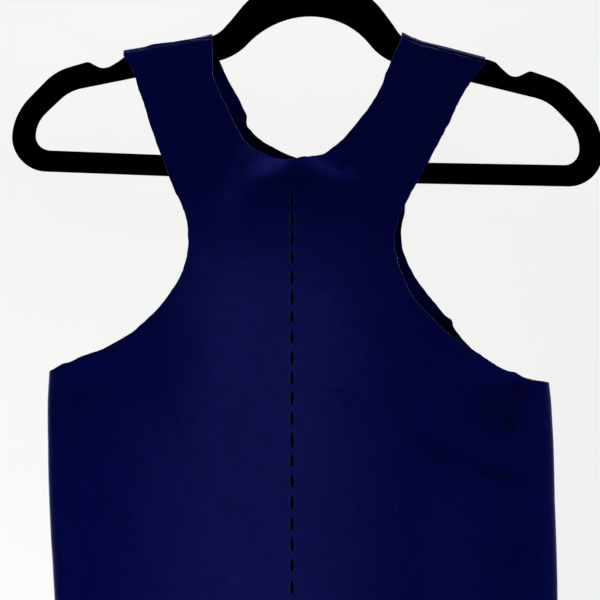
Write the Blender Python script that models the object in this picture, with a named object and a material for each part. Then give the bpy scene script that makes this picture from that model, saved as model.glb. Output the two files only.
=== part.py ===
"""A racerback tank top hanging flat on a flocked hanger.

Metres, +Z up, the front of the garment towards -Y. The origin is the inner crest of the hanger's
hook, where a rail carries it. Tables give places in millimetres: x to the right, and the drop
below the rail.
"""

import math
from collections import namedtuple

import bmesh
import bpy
from mathutils import Vector

MM = 0.001

# Cloth
CLOTH_WALL = 1.4 * MM
CLOTH_CLEARANCE = 0.4 * MM  # cloth to hanger
SEAM_GAP = 0.3 * MM  # front to back at a side seam
SIDE_FOLD_WIDTH = 8.0 * MM  # how far in from its side edge a panel has rounded off to flat
ROW_PITCH = 15.0 * MM  # height of one row of faces
SIDE_STEPS = (0.0, 0.003, 0.010, 0.022, 0.046, 0.12, 0.24, 0.38, 0.53, 0.68, 0.84, 1.0)
EVEN_AFTER = 3.0  # sections above the underarm, over which the columns spread out evenly

# Hanger
HANGER_THICK = 5.8 * MM
HANGER_ROUNDING = 2.2 * MM
HANGER_TILT = math.radians(1.2)  # its right-hand side hangs lower
ARC_STEP = math.radians(11.0)
SHARP_ANGLE = math.radians(40.0)

# Hook
WIRE_RADIUS = 1.8 * MM
HOOK_INNER_RADIUS = 17.0 * MM
HOOK_NECK_TURN = math.radians(50.0)
HOOK_TIP_ANGLE = math.radians(188.0)
HOOK_NECK_STEPS = 6
HOOK_STEPS = 26
WIRE_ROUNDNESS = 3
SHANK_END_DROP = 100.0 * MM
BORE_RADIUS = 2.1 * MM
BORE_END_DROP = 101.5 * MM
BORE_START_DROP = 70.0 * MM
BORE_SIDES = 12

# The strap folds over the hanger in a half circle; the shoulder seam lies on its front side.
FOLD_RADIUS = HANGER_THICK / 2 + CLOTH_CLEARANCE + CLOTH_WALL / 2
BACK_FOLD_ANGLES = (20, 40, 60, 80, 100, 120, 141, 160)
FRONT_FOLD_ANGLES = (174, 168)

# Sections of a panel from hem to shoulder: each gives (x, drop) at the panel's left edge, at the
# inner end of its left half, at the inner end of its right half, and at the right edge. The inner
# ends are the middle line up to the neck, and from there the two sides of the neckline.
Section = namedtuple("Section", "name left left_inner right_inner right")
BODY = (
    Section("hem", (-189.0, 727.5), (-10.0, 731.5), (-10.0, 731.5), (186.0, 733.5)),
    Section("hip", (-192.5, 630.5), (-10.0, 632.5), (-10.0, 632.5), (184.5, 635.0)),
    Section("waist", (-194.0, 547.5), (-10.0, 549.0), (-10.0, 549.0), (183.0, 550.5)),
    Section("ribs", (-198.5, 478.0), (-10.0, 479.5), (-10.0, 479.5), (181.5, 481.0)),
    Section("bust", (-199.5, 431.5), (-10.0, 434.5), (-10.0, 434.5), (180.0, 437.5)),
    Section("underarm", (-198.5, 383.0), (-10.0, 387.5), (-10.0, 387.5), (177.5, 391.5)),
)
FRONT_TOP = (
    Section("armhole_1", (-176.0, 372.0), (-10.0, 368.0), (-10.0, 368.0), (148.0, 383.5)),
    Section("armhole_2", (-155.5, 364.0), (-10.0, 350.0), (-10.0, 350.0), (121.0, 367.0)),
    Section("armhole_3", (-130.5, 348.5), (-10.0, 332.0), (-10.0, 332.0), (97.5, 351.5)),
    Section("armhole_4", (-112.5, 330.5), (-10.0, 313.5), (-10.0, 313.5), (78.5, 332.5)),
    Section("armhole_5", (-100.0, 310.0), (-10.0, 294.0), (-10.0, 294.0), (68.5, 316.5)),
    Section("armhole_6", (-94.0, 287.5), (-10.0, 274.5), (-10.0, 274.5), (61.5, 297.0)),
    Section("armhole_7", (-94.5, 270.0), (-10.0, 257.0), (-10.0, 257.0), (61.5, 279.5)),
    Section("armhole_8", (-98.5, 257.0), (-10.0, 240.0), (-10.0, 240.0), (68.5, 261.5)),
    Section("neck", (-103.5, 246.0), (-9.5, 221.5), (-9.5, 221.5), (74.5, 246.0)),
    Section("neck_1", (-107.5, 236.0), (-29.0, 221.5), (6.5, 218.5), (80.5, 234.5)),
    Section("neck_2", (-111.0, 226.0), (-43.5, 216.5), (18.5, 210.5), (86.5, 223.0)),
    Section("neck_3", (-115.5, 215.5), (-51.5, 209.0), (27.5, 201.5), (92.5, 211.0)),
    Section("strap_1", (-121.0, 200.5), (-59.0, 196.0), (36.5, 190.0), (100.0, 197.5)),
    Section("strap_2", (-125.5, 184.0), (-66.0, 181.5), (44.0, 179.5), (107.5, 181.0)),
    Section("strap_3", (-130.5, 170.5), (-72.0, 169.0), (51.0, 168.0), (114.5, 169.0)),
    Section("strap_4", (-135.5, 157.5), (-75.5, 155.5), (55.5, 155.5), (122.5, 159.0)),
    Section("shoulder", (-143.5, 145.0), (-76.5, 132.0), (67.0, 132.0), (130.0, 152.0)),
)
BACK_TOP = (
    Section("armhole_1", (-174.5, 372.5), (-10.0, 368.0), (-10.0, 368.0), (149.0, 384.0)),
    Section("armhole_2", (-152.5, 365.0), (-10.0, 350.0), (-10.0, 350.0), (125.5, 370.0)),
    Section("armhole_3", (-127.0, 350.0), (-10.0, 332.0), (-10.0, 332.0), (107.0, 352.0)),
    Section("armhole_4", (-108.0, 331.0), (-10.0, 313.5), (-10.0, 313.5), (92.5, 332.5)),
    Section("armhole_5", (-95.5, 310.5), (-10.0, 294.0), (-10.0, 294.0), (81.0, 318.0)),
    Section("armhole_6", (-90.0, 288.0), (-10.0, 274.5), (-10.0, 274.5), (70.0, 300.0)),
    Section("armhole_7", (-91.0, 270.0), (-10.0, 257.0), (-10.0, 257.0), (66.5, 280.5)),
    Section("armhole_8", (-95.5, 257.0), (-10.0, 240.0), (-10.0, 240.0), (66.0, 262.5)),
    Section("neck", (-100.5, 246.0), (-9.5, 222.0), (-9.5, 222.0), (72.0, 246.5)),
    Section("neck_1", (-104.5, 236.0), (-23.5, 217.0), (8.0, 220.0), (78.5, 234.5)),
    Section("neck_2", (-109.0, 226.0), (-37.0, 210.5), (20.5, 211.5), (85.0, 223.0)),
    Section("neck_3", (-113.5, 215.5), (-45.0, 203.5), (29.5, 202.5), (91.0, 211.0)),
    Section("strap_1", (-118.5, 200.5), (-49.0, 195.5), (39.0, 190.5), (98.5, 197.5)),
    Section("strap_2", (-123.5, 184.0), (-54.5, 182.5), (46.5, 180.0), (106.0, 181.0)),
    Section("strap_3", (-129.0, 170.5), (-61.5, 169.0), (53.0, 168.5), (113.0, 169.0)),
    Section("strap_4", (-134.0, 157.5), (-67.5, 155.5), (58.0, 156.0), (121.0, 159.0)),
    Section("shoulder", (-143.5, 145.0), (-76.5, 132.0), (67.0, 132.0), (130.0, 152.0)),
)
UNDERARM = len(BODY) - 1
NECK = UNDERARM + [section.name for section in FRONT_TOP].index("neck") + 1

# How far each panel's middle stands from the hanger's plane, by drop: on the hanger it lies
# against it, and lower down the two panels part into a shallow hollow.
Depth = namedtuple("Depth", "drop stand_off")
DEPTHS = (
    Depth(246.0, 4.0),
    Depth(300.0, 5.6),
    Depth(390.0, 8.0),
    Depth(560.0, 9.5),
    Depth(735.0, 10.5),
)

# Soft ridges (height > 0, outwards) and troughs (height < 0), each along a straight line between
# two places.
Fold = namedtuple("Fold", "name start end half_width height")
FRONT_FOLDS = (
    Fold("chest trough upper", (62.0, 410.0), (112.0, 458.0), 15.0, -1.9),
    Fold("chest trough lower", (112.0, 446.0), (158.0, 476.0), 14.0, -1.7),
    Fold("middle swell", (-12.0, 400.0), (-14.0, 740.0), 70.0, 2.2),
    Fold("left hollow", (-150.0, 420.0), (-162.0, 660.0), 26.0, -1.4),
    Fold("right hollow", (134.0, 540.0), (146.0, 690.0), 24.0, -1.5),
    Fold("left hem wave", (-112.0, 640.0), (-118.0, 760.0), 28.0, 3.0),
    Fold("middle hem wave", (6.0, 660.0), (2.0, 760.0), 24.0, -2.6),
    Fold("right hem wave", (92.0, 630.0), (98.0, 760.0), 30.0, 2.6),
)
BACK_FOLDS = (
    Fold("shoulder blade trough left", (-70.0, 330.0), (-128.0, 420.0), 16.0, -1.9),
    Fold("shoulder blade trough right", (48.0, 340.0), (102.0, 426.0), 17.0, -1.7),
    Fold("middle swell", (-6.0, 420.0), (-4.0, 740.0), 64.0, 2.0),
    Fold("waist trough", (-96.0, 520.0), (-40.0, 566.0), 18.0, -1.6),
    Fold("left hem wave", (-84.0, 650.0), (-90.0, 760.0), 26.0, 2.8),
    Fold("right hem wave", (70.0, 640.0), (78.0, 760.0), 28.0, -2.4),
)

# Half of the hanger's outline, from the top of the arch to the middle of the bar: the corners of
# a polygon in its own upright frame, each rounded by its radius. The other half mirrors it.
Corner = namedtuple("Corner", "name x drop radius")
OUTER_CORNERS = (
    Corner("arch", 0.0, 30.3, 73.5),
    Corner("arch meets arm", 69.4, 133.3, 36.0),
    Corner("notch inner lip", 144.0, 149.4, 5.0),
    Corner("notch bottom", 152.5, 159.8, 6.0),
    Corner("notch outer lip", 164.5, 152.6, 5.0),
    Corner("arm bends down", 191.2, 159.9, 42.0),
    Corner("end", 222.3, 193.4, 46.0),
    Corner("lower end", 222.3, 236.5, 23.0),
    Corner("bar", 0.0, 238.5, 6000.0),
)
INNER_CORNERS = (
    Corner("arch", 0.0, 80.5, 59.0),
    Corner("arch meets arm", 55.8, 146.9, 47.0),
    Corner("arm bends down", 182.0, 174.6, 35.0),
    Corner("end", 206.0, 196.3, 26.0),
    Corner("lower end", 206.0, 221.9, 11.5),
    Corner("bar", 0.0, 224.1, 6000.0),
)

MATERIALS = {
    # name: (red, green, blue, roughness, metallic)
    "navy_cloth": (0.004, 0.004, 0.045, 0.85, 0.0),
    "black_flock": (0.004, 0.004, 0.005, 0.95, 0.0),
    "hook_steel": (0.62, 0.62, 0.63, 0.28, 1.0),
}


def material(name):
    red, green, blue, roughness, metallic = MATERIALS[name]
    made = bpy.data.materials.new(name)
    made.use_nodes = True
    shader = made.node_tree.nodes["Principled BSDF"]
    shader.inputs["Base Color"].default_value = (red, green, blue, 1.0)
    shader.inputs["Roughness"].default_value = roughness
    shader.inputs["Metallic"].default_value = metallic
    return made


def new_object(name, mesh, material_name):
    made = bpy.data.objects.new(name, mesh)
    bpy.context.scene.collection.objects.link(made)
    made.data.materials.append(material(material_name))
    return made


# Cloth


class Edge:
    """A smooth curve through one column of a panel's sections, sharp only at the rows in corners."""

    def __init__(self, places, corners):
        self.places = [Vector(place) * MM for place in places]
        self.corners = set(corners) | {0, len(places) - 1}

    def tangent(self, row, side):
        """The direction at a section for one step of side (-1 below it, +1 above it)."""
        if row in self.corners:
            low, high = sorted((row, min(max(row + side, 0), len(self.places) - 1)))
        else:
            low, high = row - 1, row + 1
        lengths = [
            (self.places[i + 1] - self.places[i]).length for i in range(low, high)
        ]
        return (self.places[high] - self.places[low]) / sum(lengths)

    def at(self, row, share):
        """The place a share of the way from a section to the next."""
        start, end = self.places[row], self.places[row + 1]
        length = (end - start).length
        t, t2, t3 = share, share**2, share**3
        return (
            start * (2 * t3 - 3 * t2 + 1)
            + end * (3 * t2 - 2 * t3)
            + self.tangent(row, 1) * length * (t3 - 2 * t2 + t)
            + self.tangent(row + 1, -1) * length * (t3 - t2)
        )


def stand_off(drop):
    """The panel's distance from the hanger's plane at a drop, eased between the rows of DEPTHS."""
    if drop <= DEPTHS[0].drop * MM:
        return FOLD_RADIUS
    for above, below in zip(DEPTHS, DEPTHS[1:]):
        if drop <= below.drop * MM:
            share = (drop / MM - above.drop) / (below.drop - above.drop)
            return (above.stand_off + (below.stand_off - above.stand_off) * share) * MM
    return DEPTHS[-1].stand_off * MM


def fold_height(folds, place):
    """The sum of the soft folds at a place, each fading off across and past its ends."""
    total = 0.0
    for fold in folds:
        start, end = Vector(fold.start) * MM, Vector(fold.end) * MM
        along = end - start
        share = max(0.0, min(1.0, (place - start).dot(along) / along.length_squared))
        distance = (place - start - along * share).length
        total += fold.height * MM * math.exp(-((distance / (fold.half_width * MM)) ** 2))
    return total


def side_share(place, side_x):
    """0 on the panel's side edge, rising to 1 where it has rounded off to flat."""
    inward = min(abs(place.x - side_x) / SIDE_FOLD_WIDTH, 1.0)
    return math.sqrt(1.0 - (1.0 - inward) ** 2)


def cloth_point(place, side_x, folds, facing):
    """The wall's middle over a place (x, drop). facing is -1 for the front and 1 for the back."""
    flat = stand_off(place.y) + fold_height(folds, place)
    y = SEAM_GAP / 2 + (flat - SEAM_GAP / 2) * side_share(place, side_x)
    return Vector((place.x, facing * y, -place.y))


def column_share(step, row):
    """How far across a half a column stands: crowded at the side edge on the body, even above."""
    even = step / (len(SIDE_STEPS) - 1)
    crowded = 1.0 if row <= UNDERARM else max(0.0, 1.0 - (row - UNDERARM) / EVEN_AFTER)
    return SIDE_STEPS[step] * crowded + even * (1.0 - crowded)


def mesh_rows(edges):
    """(section, share) of every row of vertices, about ROW_PITCH apart along the longer edge."""
    rows = []
    for row in range(len(edges[0].places) - 1):
        longest = max((edge.places[row + 1] - edge.places[row]).length for edge in edges)
        count = max(1, round(longest / ROW_PITCH))
        rows += [(row, step / count) for step in range(count)]
    return rows + [(len(edges[0].places) - 2, 1.0)]


def half_panel(outer, inner, rows, folds, facing, fold_angles):
    """The wall's middle of one half, as rows of points from the outer edge to the inner one."""
    grid = []
    for row, share in rows:
        outer_place, inner_place = outer.at(row, share), inner.at(row, share)
        side_x = (outer_place if row < UNDERARM else outer.places[UNDERARM]).x
        line = []
        for step in range(len(SIDE_STEPS)):
            across = column_share(step, row + share)
            place = outer_place.lerp(inner_place, across)
            line.append(cloth_point(place, side_x, folds, facing))
        grid.append(line)
    crease = [Vector((point.x, 0.0, point.z)) for point in grid[-1]]
    for angle in fold_angles:
        turn = math.radians(angle)
        over = Vector((0.0, math.cos(turn), math.sin(turn))) * FOLD_RADIUS
        grid.append([point + over for point in crease])
    return grid


def thicken(mesh, side_vertices):
    """Gives an open sheet its wall, half to each side, and closes it along every free edge."""
    mesh.normal_update()
    sheet_faces = list(mesh.faces)
    free_loops = [edge.link_loops[0] for edge in mesh.edges if edge.is_boundary]
    outer, inner = {}, {}
    for vertex in list(mesh.verts):
        normal = vertex.normal.copy()
        if vertex in side_vertices:
            normal.y = 0.0
        normal.normalize()
        outer[vertex] = mesh.verts.new(vertex.co + normal * CLOTH_WALL / 2)
        inner[vertex] = mesh.verts.new(vertex.co - normal * CLOTH_WALL / 2)
    for face in sheet_faces:
        mesh.faces.new([outer[vertex] for vertex in face.verts])
        mesh.faces.new([inner[vertex] for vertex in reversed(face.verts)])
    for loop in free_loops:
        start, end = loop.vert, loop.link_loop_next.vert
        mesh.faces.new((outer[end], outer[start], inner[start], inner[end]))
    bmesh.ops.delete(mesh, geom=list(outer), context="VERTS")


def panel(name, top, folds, facing, fold_angles):
    """One cut piece of cloth: two halves that share the middle line up to the neck."""
    sections = BODY + top
    left = Edge([section.left for section in sections], [UNDERARM])
    left_inner = Edge([section.left_inner for section in sections], [NECK])
    right_inner = Edge([section.right_inner for section in sections], [NECK])
    right = Edge([section.right for section in sections], [UNDERARM])
    rows = mesh_rows([left, right])
    halves = (
        half_panel(left, left_inner, rows, folds, facing, fold_angles),
        half_panel(right, right_inner, rows, folds, facing, fold_angles),
    )
    joined_rows = sum(1 for row, share in rows if row + share <= NECK)
    side_rows = sum(1 for row, share in rows if row + share <= UNDERARM)
    mesh = bmesh.new()
    vertices = [[[mesh.verts.new(point) for point in line] for line in half] for half in halves]
    for row in range(joined_rows):
        mesh.verts.remove(vertices[1][row][-1])
        vertices[1][row][-1] = vertices[0][row][-1]
    for half, turned in zip(vertices, (facing > 0, facing < 0)):
        for low, high in zip(half, half[1:]):
            for a, b, c, d in zip(low, low[1:], high[1:], high):
                mesh.faces.new((d, c, b, a) if turned else (a, b, c, d))
    thicken(mesh, {half[row][0] for half in vertices for row in range(side_rows)})
    data = bpy.data.meshes.new(name)
    mesh.to_mesh(data)
    mesh.free()
    data.shade_smooth()
    return new_object(name, data, "navy_cloth")


# Hanger


def rounded(corners):
    """A closed outline in metres through the corners and their mirror images, each one rounded."""
    half = [Vector((corner.x, corner.drop)) * MM for corner in corners]
    places = half + [Vector((-place.x, place.y)) for place in half[-2:0:-1]]
    radii = [corner.radius * MM for corner in corners]
    radii += radii[-2:0:-1]
    outline = []
    for i, (place, radius) in enumerate(zip(places, radii)):
        back = (places[i - 1] - place).normalized()
        ahead = (places[(i + 1) % len(places)] - place).normalized()
        half_angle = back.angle(ahead) / 2
        centre = place + (back + ahead).normalized() * (radius / math.sin(half_angle))
        first = place + back * (radius / math.tan(half_angle)) - centre
        sweep = first.angle_signed(place + ahead * (radius / math.tan(half_angle)) - centre)
        steps = max(2, math.ceil(abs(sweep) / ARC_STEP))
        for step in range(steps + 1):
            turn = -sweep * step / steps
            cosine, sine = math.cos(turn), math.sin(turn)
            spoke = (first.x * cosine - first.y * sine, first.x * sine + first.y * cosine)
            outline.append(centre + Vector(spoke))
    return outline


def inset(outline, distance):
    """The outline moved to its inner side; a hole's outline takes a negative distance."""
    moved = []
    for i, place in enumerate(outline):
        tangent = outline[(i + 1) % len(outline)] - outline[i - 1]
        normal = Vector((-tangent.y, tangent.x)).normalized()
        moved.append(place + normal * distance)
    return moved


def hanger_mesh(name):
    """The looped frame: both outlines swept through a rounded edge profile and capped."""
    mesh = bmesh.new()
    half = HANGER_THICK / 2
    profile = []  # (inset, y) from the front cap to the back cap
    for degrees in (90, 45, 0):
        turn = math.radians(degrees)
        profile.append(
            (
                HANGER_ROUNDING * (1 - math.cos(turn)),
                -half + HANGER_ROUNDING * (1 - math.sin(turn)),
            )
        )
    profile += [(distance, -y) for distance, y in reversed(profile)]
    caps = ([], [])
    for corners, direction in ((OUTER_CORNERS, 1), (INNER_CORNERS, -1)):
        outline = rounded(corners)
        rings = []
        for distance, y in profile:
            line = inset(outline, direction * distance)
            rings.append([mesh.verts.new((place.x, y, -place.y)) for place in line])
        for front, back in zip(rings, rings[1:]):
            for i in range(len(outline)):
                mesh.faces.new((front[i - 1], front[i], back[i], back[i - 1]))
        for cap, ring in zip(caps, (rings[0], rings[-1])):
            cap += [mesh.edges.get((ring[i - 1], ring[i])) for i in range(len(ring))]
    for cap in caps:
        bmesh.ops.triangle_fill(mesh, edges=cap, use_beauty=True)
    bmesh.ops.recalc_face_normals(mesh, faces=mesh.faces)
    data = bpy.data.meshes.new(name)
    mesh.to_mesh(data)
    mesh.free()
    return data


def hanger_frame(tilt):
    """The flocked loop, with a bore in the top of its arch for the hook's shank."""
    made = new_object("hanger_frame", hanger_mesh("hanger_frame"), "black_flock")
    made.parent = tilt
    cutter_mesh = bmesh.new()
    bmesh.ops.create_cone(
        cutter_mesh,
        cap_ends=True,
        segments=BORE_SIDES,
        radius1=BORE_RADIUS,
        radius2=BORE_RADIUS,
        depth=BORE_END_DROP - BORE_START_DROP,
    )
    data = bpy.data.meshes.new("bore_cutter")
    cutter_mesh.to_mesh(data)
    cutter_mesh.free()
    cutter = bpy.data.objects.new("bore_cutter", data)
    bpy.context.scene.collection.objects.link(cutter)
    cutter.location.z = -(BORE_START_DROP + BORE_END_DROP) / 2
    cutter.parent = tilt
    cutter.hide_render = True
    cutter.display_type = "WIRE"
    bore = made.modifiers.new("Bore", "BOOLEAN")
    bore.object = cutter
    made.data.set_sharp_from_angle(angle=SHARP_ANGLE)
    return made


def hook_route():
    """The wire's middle line (x, drop): a straight shank, a bend to the right and a round hook."""
    radius = HOOK_INNER_RADIUS + WIRE_RADIUS
    neck_radius = radius * math.cos(HOOK_NECK_TURN) / (1 - math.cos(HOOK_NECK_TURN))
    meet_drop = HOOK_INNER_RADIUS + radius * math.sin(HOOK_NECK_TURN)
    bend_drop = meet_drop + neck_radius * math.sin(HOOK_NECK_TURN)
    route = [(0.0, SHANK_END_DROP)]
    for step in range(HOOK_NECK_STEPS):
        turn = HOOK_NECK_TURN * step / HOOK_NECK_STEPS
        x = neck_radius * (1 - math.cos(turn))
        route.append((x, bend_drop - neck_radius * math.sin(turn)))
    for step in range(HOOK_STEPS + 1):
        turn = -HOOK_NECK_TURN + (HOOK_TIP_ANGLE + HOOK_NECK_TURN) * step / HOOK_STEPS
        x = radius * math.cos(turn)
        route.append((x, HOOK_INNER_RADIUS - radius * math.sin(turn)))
    return route


def hanger_hook(tilt):
    """The bent wire, its shank standing in the bore."""
    route = hook_route()
    curve = bpy.data.curves.new("hanger_hook", "CURVE")
    curve.dimensions = "3D"
    curve.bevel_depth = WIRE_RADIUS
    curve.bevel_resolution = WIRE_ROUNDNESS
    curve.use_fill_caps = True
    spline = curve.splines.new("POLY")
    spline.points.add(len(route) - 1)
    for point, (x, drop) in zip(spline.points, route):
        point.co = (x, 0.0, -drop, 1.0)
    made = new_object("hanger_hook", curve, "hook_steel")
    made.parent = tilt
    return made


def main():
    for old in list(bpy.data.objects):
        bpy.data.objects.remove(old)
    tilt = bpy.data.objects.new("hanger_tilt", None)
    bpy.context.scene.collection.objects.link(tilt)
    tilt.rotation_euler.y = HANGER_TILT
    hanger_frame(tilt)
    hanger_hook(tilt)
    panel("front_panel", FRONT_TOP, FRONT_FOLDS, -1, FRONT_FOLD_ANGLES)
    panel("back_panel", BACK_TOP, BACK_FOLDS, 1, BACK_FOLD_ANGLES)


main()
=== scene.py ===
"""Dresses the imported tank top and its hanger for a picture.

Metres, +Z up, the front of the garment towards -Y, the origin at the inner crest of the hanger's
hook. Tables give places in millimetres: x to the right, and the drop below the rail.
"""

import math
from collections import namedtuple

import bmesh
import bpy
import numpy as np
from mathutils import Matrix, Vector


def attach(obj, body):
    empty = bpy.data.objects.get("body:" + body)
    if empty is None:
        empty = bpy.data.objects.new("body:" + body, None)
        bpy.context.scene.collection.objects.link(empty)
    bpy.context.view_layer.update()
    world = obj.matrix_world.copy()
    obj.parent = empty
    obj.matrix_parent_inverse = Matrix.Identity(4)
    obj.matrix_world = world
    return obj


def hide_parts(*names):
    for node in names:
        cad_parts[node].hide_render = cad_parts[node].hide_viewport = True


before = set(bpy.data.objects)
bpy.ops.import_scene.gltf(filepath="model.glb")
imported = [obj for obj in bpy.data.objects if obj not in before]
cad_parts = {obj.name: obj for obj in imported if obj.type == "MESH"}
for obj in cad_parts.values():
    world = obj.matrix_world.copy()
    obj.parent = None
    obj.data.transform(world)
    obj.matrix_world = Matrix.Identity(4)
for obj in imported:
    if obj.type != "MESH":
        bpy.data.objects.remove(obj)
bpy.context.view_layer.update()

MM = 0.001

# The solids' own dimensions

CLOTH_WALL = 1.4 * MM
CLOTH_CLEARANCE = 0.4 * MM
SEAM_GAP = 0.3 * MM
SIDE_FOLD_WIDTH = 8.0 * MM
HANGER_THICK = 5.8 * MM
HANGER_ROUNDING = 2.2 * MM
HANGER_TILT = math.radians(1.2)
WIRE_RADIUS = 1.8 * MM
HOOK_INNER_RADIUS = 17.0 * MM
HOOK_NECK_TURN = math.radians(50.0)
HOOK_TIP_ANGLE = math.radians(188.0)
SHANK_END_DROP = 100.0 * MM
FOLD_RADIUS = HANGER_THICK / 2 + CLOTH_CLEARANCE + CLOTH_WALL / 2

# Sections of a panel from hem to shoulder: (x, drop) at its left edge, at the inner end of its
# left half, at the inner end of its right half, and at its right edge.
Section = namedtuple("Section", "name left left_inner right_inner right")
MIDDLE_X = -10


def whole(name, left, middle_drop, right):
    """A section below the neck, where both halves end on the same middle line."""
    middle = (MIDDLE_X, middle_drop)
    return Section(name, left, middle, middle, right)


BODY = (
    whole("hem", (-189, 727.5), 731.5, (186, 733.5)),
    whole("hip", (-192.5, 630.5), 632.5, (184.5, 635)),
    whole("waist", (-194, 547.5), 549, (183, 550.5)),
    whole("ribs", (-198.5, 478), 479.5, (181.5, 481)),
    whole("bust", (-199.5, 431.5), 434.5, (180, 437.5)),
    whole("underarm", (-198.5, 383), 387.5, (177.5, 391.5)),
)
SHOULDER = Section("shoulder", (-143.5, 145), (-76.5, 132), (67, 132), (130, 152))
FRONT_TOP = (
    whole("armhole_1", (-176, 372), 368, (148, 383.5)),
    whole("armhole_2", (-155.5, 364), 350, (121, 367)),
    whole("armhole_3", (-130.5, 348.5), 332, (97.5, 351.5)),
    whole("armhole_4", (-112.5, 330.5), 313.5, (78.5, 332.5)),
    whole("armhole_5", (-100, 310), 294, (68.5, 316.5)),
    whole("armhole_6", (-94, 287.5), 274.5, (61.5, 297)),
    whole("armhole_7", (-94.5, 270), 257, (61.5, 279.5)),
    whole("armhole_8", (-98.5, 257), 240, (68.5, 261.5)),
    Section("neck", (-103.5, 246), (-9.5, 221.5), (-9.5, 221.5), (74.5, 246)),
    Section("neck_1", (-107.5, 236), (-29, 221.5), (6.5, 218.5), (80.5, 234.5)),
    Section("neck_2", (-111, 226), (-43.5, 216.5), (18.5, 210.5), (86.5, 223)),
    Section("neck_3", (-115.5, 215.5), (-51.5, 209), (27.5, 201.5), (92.5, 211)),
    Section("strap_1", (-121, 200.5), (-59, 196), (36.5, 190), (100, 197.5)),
    Section("strap_2", (-125.5, 184), (-66, 181.5), (44, 179.5), (107.5, 181)),
    Section("strap_3", (-130.5, 170.5), (-72, 169), (51, 168), (114.5, 169)),
    Section("strap_4", (-135.5, 157.5), (-75.5, 155.5), (55.5, 155.5), (122.5, 159)),
    SHOULDER,
)
BACK_TOP = (
    whole("armhole_1", (-174.5, 372.5), 368, (149, 384)),
    whole("armhole_2", (-152.5, 365), 350, (125.5, 370)),
    whole("armhole_3", (-127, 350), 332, (107, 352)),
    whole("armhole_4", (-108, 331), 313.5, (92.5, 332.5)),
    whole("armhole_5", (-95.5, 310.5), 294, (81, 318)),
    whole("armhole_6", (-90, 288), 274.5, (70, 300)),
    whole("armhole_7", (-91, 270), 257, (66.5, 280.5)),
    whole("armhole_8", (-95.5, 257), 240, (66, 262.5)),
    Section("neck", (-100.5, 246), (-9.5, 222), (-9.5, 222), (72, 246.5)),
    Section("neck_1", (-104.5, 236), (-23.5, 217), (8, 220), (78.5, 234.5)),
    Section("neck_2", (-109, 226), (-37, 210.5), (20.5, 211.5), (85, 223)),
    Section("neck_3", (-113.5, 215.5), (-45, 203.5), (29.5, 202.5), (91, 211)),
    Section("strap_1", (-118.5, 200.5), (-49, 195.5), (39, 190.5), (98.5, 197.5)),
    Section("strap_2", (-123.5, 184), (-54.5, 182.5), (46.5, 180), (106, 181)),
    Section("strap_3", (-129, 170.5), (-61.5, 169), (53, 168.5), (113, 169)),
    Section("strap_4", (-134, 157.5), (-67.5, 155.5), (58, 156), (121, 159)),
    SHOULDER,
)
UNDERARM = len(BODY) - 1
NECK = UNDERARM + [section.name for section in FRONT_TOP].index("neck") + 1

# How far a wall's middle stands from the hanger's plane: (drop, stand-off).
DEPTHS = ((246, 4), (300, 5.6), (390, 8), (560, 9.5), (735, 10.5))

# Ridges (height > 0, outwards) and troughs (height < 0) along lines through points. The two widths
# lie to the right and to the left of a line's direction.
Crease = namedtuple("Crease", "name points right_width left_width height")

# The large ones are the solids' own, but the two chest troughs are shallower here, because the
# chest ledges lie in them.
FRONT_FOLDS = (
    Crease("chest trough upper", ((62, 410), (112, 458)), 15, 15, -0.9),
    Crease("chest trough lower", ((112, 446), (158, 476)), 14, 14, -0.8),
    Crease("middle swell", ((-12, 400), (-14, 740)), 70, 70, 2.2),
    Crease("left hollow", ((-150, 420), (-162, 660)), 26, 26, -1.4),
    Crease("right hollow", ((134, 540), (146, 690)), 24, 24, -1.5),
    Crease("left hem wave", ((-112, 640), (-118, 760)), 28, 28, 3),
    Crease("middle hem wave", ((6, 660), (2, 760)), 24, 24, -2.6),
    Crease("right hem wave", ((92, 630), (98, 760)), 30, 30, 2.6),
)
BACK_FOLDS = (
    Crease("shoulder blade trough left", ((-70, 330), (-128, 420)), 16, 16, -1.9),
    Crease("shoulder blade trough right", ((48, 340), (102, 426)), 17, 17, -1.7),
    Crease("middle swell", ((-6, 420), (-4, 740)), 64, 64, 2),
    Crease("waist trough", ((-96, 520), (-40, 566)), 18, 18, -1.6),
    Crease("left hem wave", ((-84, 650), (-90, 760)), 26, 26, 2.8),
    Crease("right hem wave", ((70, 640), (78, 760)), 28, 28, -2.4),
)

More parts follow.
